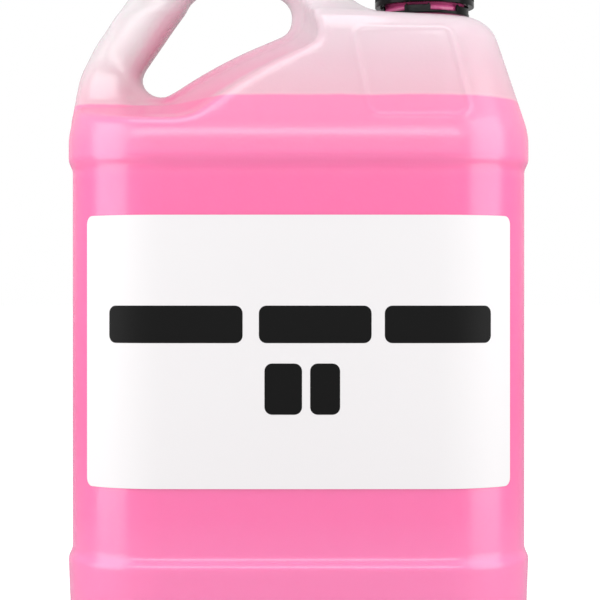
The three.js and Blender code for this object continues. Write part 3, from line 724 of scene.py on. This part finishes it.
def makeShell():
    points, faces = fieldSurface(shellField, shellGrid)
    points = relax(points, faces, shellField)
    x, y, z = points[faces].mean(1).T
    onNeck = np.hypot(x - neck["x"], y) < neck["radius"] + shellGrid["neckReach"]
    onNeck &= z > can["top"] - shellGrid["neckDown"]
    onPanel = y < shellGrid["panelFront"]
    for along, (low, high) in ((x, shellGrid["panelX"]), (z, shellGrid["panelZ"])):
        onPanel &= (along > low) & (along < high)
    points, faces = refine(points, faces, onNeck | onPanel, shellField, shellGrid["cuts"])
    print("shell surface:", len(points), "points")
    normals = slope(shellField, points)
    normals /= np.linalg.norm(normals, axis=1)[:, None]
    inner = points - normals * can["wall"]
    rim = can["top"] + neck["height"] - shellGrid["rimDown"]
    radius = np.hypot(points[:, 0] - neck["x"], points[:, 1])
    inBore = (radius < neck["bore"]) & (points[:, 2] > rim)
    kept = [f for f in faces if not all(inBore[i] for i in f)]
    count = len(points)
    edges = dict.fromkeys((a, b) for f in kept for a, b in zip(f, [*f[1:], f[0]]))
    border = [(a, b) for a, b in edges if (b, a) not in edges]
    walls = [[b, a, a + count, b + count] for a, b in border]
    inside = [[i + count for i in reversed(f)] for f in kept]
    used = sorted({i for f in [*kept, *walls, *inside] for i in f})
    place = {old: new for new, old in enumerate(used)}
    everything = np.concatenate([points, inner])[used]
    faces = [[place[i] for i in f] for f in [*kept, *inside, *walls]]
    return meshPiece("canShell", everything, faces, naturalPlastic)


shell = makeShell()
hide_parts("container")
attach(shell, "bottle")
print("shell made:", len(shell.data.polygons), "faces")

soapPoints, soapFaces = fieldSurface(soapField, soapGrid)
soap = meshPiece("soapFill", soapPoints, soapFaces.tolist(), soapLiquid)
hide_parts("liquid_soap")
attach(soap, "bottle")
print("soap made:", len(soap.data.polygons), "faces")

# Label and its print, wrapped round the front

label = {
    "width": 178.0, "height": 108.1, "corner": 3.4, "middle": 115.15, "off": 0.12,
    "thickness": 0.16, "panelInset": 1.7, "columnStep": 2.0, "rowStep": 6, "sharpFrom": 40,
}


def wrapped(s, z, off):
    # Point at s along the panel's outline from the middle of the front, off from its surface
    inset = label["panelInset"]
    halfWidth, halfDepth = can["width"] / 2 - inset, can["depth"] / 2 - inset
    r = can["cornerRadius"] - inset
    bow = can["faceBow"] * (1 - can["bowFade"] * inset / can["depth"])
    flat = halfWidth - r
    side = math.copysign(1, s)
    angle = side * max(0.0, (abs(s) - flat) / r)
    x = side * min(abs(s), flat) + (r + off) * math.sin(angle)
    front = halfDepth - bow * (x / halfWidth) ** 2
    y = -(front - r) - (r + off) * math.cos(angle)
    return (x, y, z)


def sheetPatch(name, left, right, low, high, corner, off, thickness, material):
    # A rounded patch of a thin sheet on a grid of columns, closed by a back and an edge
    turns = np.linspace(0, math.pi / 2, 7)
    ends = [corner * (1 - math.sin(t)) for t in turns[::-1]]
    across = max(3, int((right - left) / label["columnStep"]))
    middle = np.linspace(left + corner, right - corner, across)
    columns = [*[left + e for e in ends[:-1]], *middle, *[right - e for e in ends[:-1][::-1]]]
    rows = max(2, int((high - low) / label["rowStep"]))
    layers = []
    for away in (off + thickness, off):
        for s in columns:
            nearEnd = max(0.0, corner - min(s - left, right - s))
            cut = corner - math.sqrt(max(0.0, corner**2 - nearEnd**2))
            for k in range(rows + 1):
                layers.append(wrapped(s, low + cut + (high - low - 2 * cut) * k / rows, away))
    count, tall = len(columns), rows + 1
    faces = []
    for i in range(count - 1):
        for k in range(rows):
            a = i * tall + k
            faces.append([a, a + tall, a + tall + 1, a + 1])
    back = count * tall
    faces += [[back + i for i in reversed(f)] for f in faces]
    # Round the sheet: along its foot, up its right end, back along its top and down its left end
    border = [*[i * tall for i in range(count)], *[(count - 1) * tall + k for k in range(1, tall)],
              *[i * tall + rows for i in range(count - 2, -1, -1)], *range(rows - 1, 0, -1)]
    for a, b in zip(border, [*border[1:], border[0]]):
        faces.append([b, a, a + back, b + back])
    piece = meshPiece(name, layers, faces, material)
    piece.data.set_sharp_from_angle(angle=math.radians(label["sharpFrom"]))
    return piece


def makeLabel():
    half = label["width"] / 2
    low = label["middle"] - label["height"] / 2
    high = label["middle"] + label["height"] / 2
    return sheetPatch("frontLabel", -half, half, low, high, label["corner"],
                      label["off"], label["thickness"], labelFilm)


labelSheet = makeLabel()
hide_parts("front_label")
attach(labelSheet, "bottle")

bars = {
    "top": [(-76.0, -22.0), (-15.6, 28.8), (34.0, 77.6)],
    "bottom": [(-13.4, 1.4), (4.6, 16.4)],
    "topLow": 118.6, "topHigh": 133.4, "bottomLow": 90.4, "bottomHigh": 110.6, "corner": 3.0,
    "thickness": 0.03,
}
for row in ("top", "bottom"):
    for i, (left, right) in enumerate(bars[row]):
        bar = sheetPatch(f"printBar{row.title()}{i + 1}", left, right, bars[row + "Low"],
                         bars[row + "High"], bars["corner"],
                         label["off"] + label["thickness"], bars["thickness"], labelInk)
        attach(bar, "bottle")
print("label made")

# Closure: cap, ribs, threads and ring

cap = {
    "radius": 21.2, "bore": 18.55, "bottom": 6.4, "top": 26.0, "roof": 1.8, "rim": 2.2,
    "edge": 1.4, "step": 0.3, "stepEdge": 0.15, "rimEdge": 0.2, "footEdge": 0.35,
    "mouth": 0.3, "mouthHeight": 1.5, "insideEdge": 0.3,
    "ribs": 60, "ribSides": 12, "ribRadius": 0.62, "ribStand": 0.35, "ribGap": 0.2,
}
ring = {
    "low": 2.0, "band": 1.3, "bore": 17.3, "radius": 19.1, "blocks": 5, "blockAngle": 34.0,
    "blockBore": 18.2, "blockHeight": 2.2, "blockEdge": 0.15, "first": -13.0,
    "bridge": 0.8, "bridgeHeight": 0.6, "bridgeInset": 0.1, "bridgeEdge": 0.05,
    "edge": 0.2, "outerEdge": 0.3, "sunk": 0.2, "stepAngle": 3,
}
thread = {
    "pitch": 4.2, "sunk": 0.3, "steps": 96, "runOut": 8, "neckStart": 11.7, "neckTurns": 1.5,
    "neckCrest": 18.2, "neckFoot": 2.2, "neckLand": 1.2, "capStart": 10.05, "capTurns": 1.25,
    "capCrest": 17.35, "capFoot": 1.4, "capLand": 0.8,
}


def facesOut(piece, smooth=True):
    mesh = bmesh.new()
    mesh.from_mesh(piece.data)
    bmesh.ops.recalc_face_normals(mesh, faces=mesh.faces)
    for f in mesh.faces:
        f.smooth = smooth
    mesh.to_mesh(piece.data)
    mesh.free()


def aroundNeck(r, angle, z):
    return (neck["x"] + r * math.cos(angle), r * math.sin(angle), z)


def turnedPiece(name, profile, material, steps=160):
    # A closed profile of (radius, height above the can's top) turned about the neck's axis
    points, faces = [], []
    onAxis = [abs(r) < 1e-6 for r, _ in profile]
    rings = []
    for (r, z), single in zip(profile, onAxis):
        count = 1 if single else steps
        rings.append([len(points) + i for i in range(count)])
        for i in range(count):
            points.append(aroundNeck(r, 2 * math.pi * i / steps, can["top"] + z))
    pairs = list(zip(rings, rings[1:]))
    if not any(onAxis):
        pairs.append((rings[-1], rings[0]))
    for low, high in pairs:
        for i in range(steps):
            j = (i + 1) % steps
            corners = [low[i % len(low)], low[j % len(low)],
                       high[j % len(high)], high[i % len(high)]]
            corners = list(dict.fromkeys(corners))
            if len(corners) > 2:
                faces.append(corners)
    piece = meshPiece(name, points, faces, material)
    facesOut(piece)
    return piece


def roundedProfile(corners, steps=4):
    # Corners are (radius, height, rounding)
    out = []
    count = len(corners)
    for i, (r, z, rounding) in enumerate(corners):
        if rounding == 0:
            out.append((r, z))
            continue
        here = np.array((r, z))
        back = np.array(corners[i - 1][:2]) - here
        ahead = np.array(corners[(i + 1) % count][:2]) - here
        a = here + back / np.linalg.norm(back) * rounding
        b = here + ahead / np.linalg.norm(ahead) * rounding
        for t in np.linspace(0, 1, steps + 1):
            out.append(tuple((1 - t) ** 2 * a + 2 * t * (1 - t) * here + t * t * b))
    return out


skirt, rimTop = cap["radius"] - cap["ribStand"], cap["bottom"] + cap["rim"]
capBody = turnedPiece("capBody", roundedProfile([
    (0, cap["top"], 0), (skirt, cap["top"], cap["edge"]),
    (skirt, rimTop + cap["step"], cap["stepEdge"]),
    (cap["radius"], rimTop, cap["rimEdge"]), (cap["radius"], cap["bottom"], cap["footEdge"]),
    (cap["bore"] + cap["mouth"], cap["bottom"], cap["mouth"]),
    (cap["bore"], cap["bottom"] + cap["mouthHeight"], 0),
    (cap["bore"], cap["top"] - cap["roof"], cap["insideEdge"]), (0, cap["top"] - cap["roof"], 0),
]), blackPlastic)
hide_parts("screw_cap")
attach(capBody, "cap")


def ribTree():
    # Rounded ribs stand on a circle round the cap's skirt
    tree = bpy.data.node_groups.new("capRibs", "GeometryNodeTree")
    tree.interface.new_socket("Geometry", in_out="OUTPUT", socket_type="NodeSocketGeometry")
    for title, kind in (("Circle Radius", "Float"), ("Rib Radius", "Float"), ("Height", "Float"),
                        ("Count", "Int"), ("Centre", "Vector")):
        tree.interface.new_socket(title, in_out="INPUT", socket_type="NodeSocket" + kind)
    start = tree.nodes.new("NodeGroupInput")
    end = tree.nodes.new("NodeGroupOutput")
    circle = addNode(tree, "GeometryNodeMeshCircle", {
        "Vertices": start.outputs["Count"], "Radius": start.outputs["Circle Radius"]})
    rib = addNode(tree, "GeometryNodeMeshCylinder", {
        "Vertices": cap["ribSides"], "Radius": start.outputs["Rib Radius"],
        "Depth": start.outputs["Height"]})
    ribs = addNode(tree, "GeometryNodeInstanceOnPoints", {
        "Points": circle.outputs["Mesh"], "Instance": rib.outputs["Mesh"]})
    real = addNode(tree, "GeometryNodeRealizeInstances", {"Geometry": ribs.outputs["Instances"]})
    moved = addNode(tree, "GeometryNodeSetPosition", {
        "Geometry": real.outputs["Geometry"], "Offset": start.outputs["Centre"]})
    painted = addNode(tree, "GeometryNodeSetMaterial", {
        "Geometry": moved.outputs["Geometry"], "Material": blackPlastic})
    tree.links.new(painted.outputs["Geometry"], end.inputs["Geometry"])
    return tree


def fromTree(name, tree, values):
    # The tree's result becomes a plain mesh
    host = bpy.data.objects.new(name + "Host", bpy.data.meshes.new(name + "Host"))
    bpy.context.scene.collection.objects.link(host)
    modifier = host.modifiers.new("tree", "NODES")
    modifier.node_group = tree
    for item in tree.interface.items_tree:
        if item.item_type == "SOCKET" and item.in_out == "INPUT" and item.name in values:
            modifier[item.identifier] = values[item.name]
    depsgraph = bpy.context.evaluated_depsgraph_get()
    mesh = bpy.data.meshes.new_from_object(host.evaluated_get(depsgraph))
    bpy.data.objects.remove(host)
    mesh.name = name
    piece = bpy.data.objects.new(name, mesh)
    bpy.context.scene.collection.objects.link(piece)
    return piece


ribLow, ribHigh = rimTop + cap["ribGap"], cap["top"] - cap["edge"] - cap["ribGap"]
capRibs = fromTree("capRibs", ribTree(), {
    "Circle Radius": (cap["radius"] - cap["ribRadius"]) * mm,
    "Rib Radius": cap["ribRadius"] * mm, "Height": (ribHigh - ribLow) * mm,
    "Count": cap["ribs"],
    "Centre": (neck["x"] * mm, 0, (can["top"] + (ribLow + ribHigh) / 2) * mm),
})
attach(capRibs, "cap")
print("cap made:", len(capRibs.data.polygons), "rib faces")


def barFaces(base, steps):
    # The sides of a bar whose sections have four corners, and its two ends
    starts = [base + 4 * i for i in range(steps)]
    sides = [[a + k, a + 4 + k, a + 4 + (k + 1) % 4, a + (k + 1) % 4]
             for a in starts for k in range(4)]
    return [*sides, [base + k for k in range(4)], [base + 4 * steps + k for k in (3, 2, 1, 0)]]


def threadRidge(name, wall, crest, foot, land, turns, first, body, material):
    # A right-handed ridge on a wall, which runs out at both ends
    steps = round(turns * thread["steps"])
    sunk = wall + math.copysign(thread["sunk"], wall - crest)
    points = []
    for i in range(steps + 1):
        angle = 2 * math.pi * i / thread["steps"]
        full = min(1, (i + 1) / thread["runOut"], (steps - i + 1) / thread["runOut"])
        tip = wall + (crest - wall) * full
        z = can["top"] + first + thread["pitch"] * i / thread["steps"]
        for r, dz in ((sunk, -foot / 2), (tip, -land / 2), (tip, land / 2), (sunk, foot / 2)):
            points.append(aroundNeck(r, angle, z + dz))
    piece = meshPiece(name, points, barFaces(0, steps), material)
    facesOut(piece)
    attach(piece, body)
    return piece


neckThread = threadRidge("neckThread", neck["radius"], thread["neckCrest"], thread["neckFoot"],
                         thread["neckLand"], thread["neckTurns"], thread["neckStart"], "bottle",
                         naturalPlastic)
capThread = threadRidge("capThread", cap["bore"], thread["capCrest"], thread["capFoot"],
                        thread["capLand"], thread["capTurns"], thread["capStart"], "cap",
                        blackPlastic)

bandTop = ring["low"] + ring["band"]
ringBand = turnedPiece("ringBand", roundedProfile([
    (ring["bore"], ring["low"], ring["edge"]), (ring["radius"], ring["low"], ring["outerEdge"]),
    (ring["radius"], bandTop, ring["edge"]), (ring["bore"], bandTop, ring["edge"]),
]), blackPlastic)
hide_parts("tamper_ring")
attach(ringBand, "bottle")


def arcBlocks(name, angles, low, high, inner, outer, edge):
    # Curved blocks on the ring, each between two angles from the front towards +X
    points, faces = [], []
    for start, end in angles:
        steps = max(2, int((end - start) / ring["stepAngle"]))
        faces += barFaces(len(points), steps)
        for i in range(steps + 1):
            angle = math.radians(start + (end - start) * i / steps - 90)
            for r, z in ((inner, low), (outer, low), (outer, high), (inner, high)):
                points.append(aroundNeck(r, angle, can["top"] + z))
    piece = meshPiece(name, points, faces, blackPlastic)
    facesOut(piece, smooth=False)
    bevel = piece.modifiers.new("edges", "BEVEL")
    bevel.width = edge * mm
    bevel.segments = 2
    bevel.limit_method = "ANGLE"
    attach(piece, "bottle")
    return piece


middles = [ring["first"] + 360 / ring["blocks"] * i for i in range(ring["blocks"])]
halfBlock = ring["blockAngle"] / 2
bridgeHalf = math.degrees(ring["bridge"] / ring["radius"]) / 2
blockTop = bandTop + ring["blockHeight"]
arcBlocks("ringBlocks", [(m - halfBlock, m + halfBlock) for m in middles],
          bandTop - ring["sunk"], blockTop, ring["blockBore"], ring["radius"], ring["blockEdge"])
bridgeAt = [m + side * (halfBlock - 2 * bridgeHalf) for m in middles for side in (-1, 1)]
arcBlocks("ringBridges", [(b - bridgeHalf, b + bridgeHalf) for b in bridgeAt],
          blockTop - ring["sunk"], blockTop + ring["bridgeHeight"],
          ring["blockBore"], ring["radius"] - ring["bridgeInset"], ring["bridgeEdge"])
# The wad keeps its own mesh from the frame
frame["nodes"]["cap_wad"].data.materials.clear()
frame["nodes"]["cap_wad"].data.materials.append(wadFoam)
print("ring made")

# Floor, lights and camera

studio = {
    "camera": (0.0006, -0.819, 0.1356), "lens": 114.5, "sensor": 36,
    "floorHalf": 40.0, "floorDown": 0.0002, "floorColour": (0.4, 0.4, 0.4, 1),
    "floorRoughness": 0.85, "floorSpecular": 0.1, "floorGlow": 0.18, "floorGlowSeen": 0.8,
    "surround": 0.7, "surroundSeen": 1.0,
    # Each box of light: degrees right of the camera and up, distance, width, height, radiance
    "lights": {
        "leftBox": (-65, 7, 0.4, 0.27, 0.42, 2.7), "rightBox": (65, 7, 0.4, 0.27, 0.42, 2.6),
        "frontBox": (-4, 18, 1.15, 1.7, 0.11, 8.5), "topBox": (0, 72, 0.9, 0.9, 0.6, 2.5),
    },
    "aim": (0.0, 0.0, 0.14),
}


def cameraShare(tree, others, camera):
    # One value where the camera looks straight at a surface, and another for all other light
    seen = addNode(tree, "ShaderNodeLightPath").outputs["Is Camera Ray"]
    share = addNode(tree, "ShaderNodeMapRange", {
        "Value": seen, "To Min": others, "To Max": camera})
    return share.outputs["Result"]


def makeFloor():
    material, tree, shader = plainMaterial(
        "paleFloor", studio["floorColour"], studio["floorRoughness"], studio["floorSpecular"])
    shader.inputs["Emission Color"].default_value = (1, 1, 1, 1)
    glow = cameraShare(tree, studio["floorGlow"], studio["floorGlowSeen"])
    tree.links.new(glow, shader.inputs["Emission Strength"])
    material.cycles.emission_sampling = "NONE"
    half = studio["floorHalf"]
    corners = [(-half, -half), (half, -half), (half, half), (-half, half)]
    points = [(x, y, -studio["floorDown"]) for x, y in corners]
    meshPiece("floor", points, [[0, 1, 2, 3]], material, scale=1)


def makeWorld():
    # The surround shows white behind the can and lights it less than the boxes do
    world = bpy.data.worlds.new("paleStudio")
    world.use_nodes = True
    shader = world.node_tree.nodes["Background"]
    shader.inputs["Color"].default_value = (1, 1, 1, 1)
    strength = cameraShare(world.node_tree, studio["surround"], studio["surroundSeen"])
    world.node_tree.links.new(strength, shader.inputs["Strength"])
    bpy.context.scene.world = world


def makeStudio():
    scene = bpy.context.scene
    makeFloor()
    makeWorld()
    aim = Vector(studio["aim"])
    for name, (turn, up, distance, width, height, radiance) in studio["lights"].items():
        turn, up = math.radians(turn), math.radians(up)
        data = bpy.data.lights.new(name, "AREA")
        data.shape = "RECTANGLE"
        data.size, data.size_y = width, height
        data.energy = radiance * math.pi * width * height
        lamp = bpy.data.objects.new(name, data)
        level = math.cos(up)
        away = Vector((math.sin(turn) * level, -math.cos(turn) * level, math.sin(up)))
        lamp.location = aim + away * distance
        lamp.visible_camera = False
        lamp.rotation_euler = (-away).to_track_quat("-Z", "Y").to_euler()
        scene.collection.objects.link(lamp)
    data = bpy.data.cameras.new("camera")
    data.lens = studio["lens"]
    data.sensor_width = studio["sensor"]
    camera = bpy.data.objects.new("camera", data)
    camera.location = studio["camera"]
    camera.rotation_euler = (math.pi / 2, 0, 0)
    scene.collection.objects.link(camera)
    scene.camera = camera
    scene.view_settings.view_transform = "Standard"


makeStudio()
print("studio made")
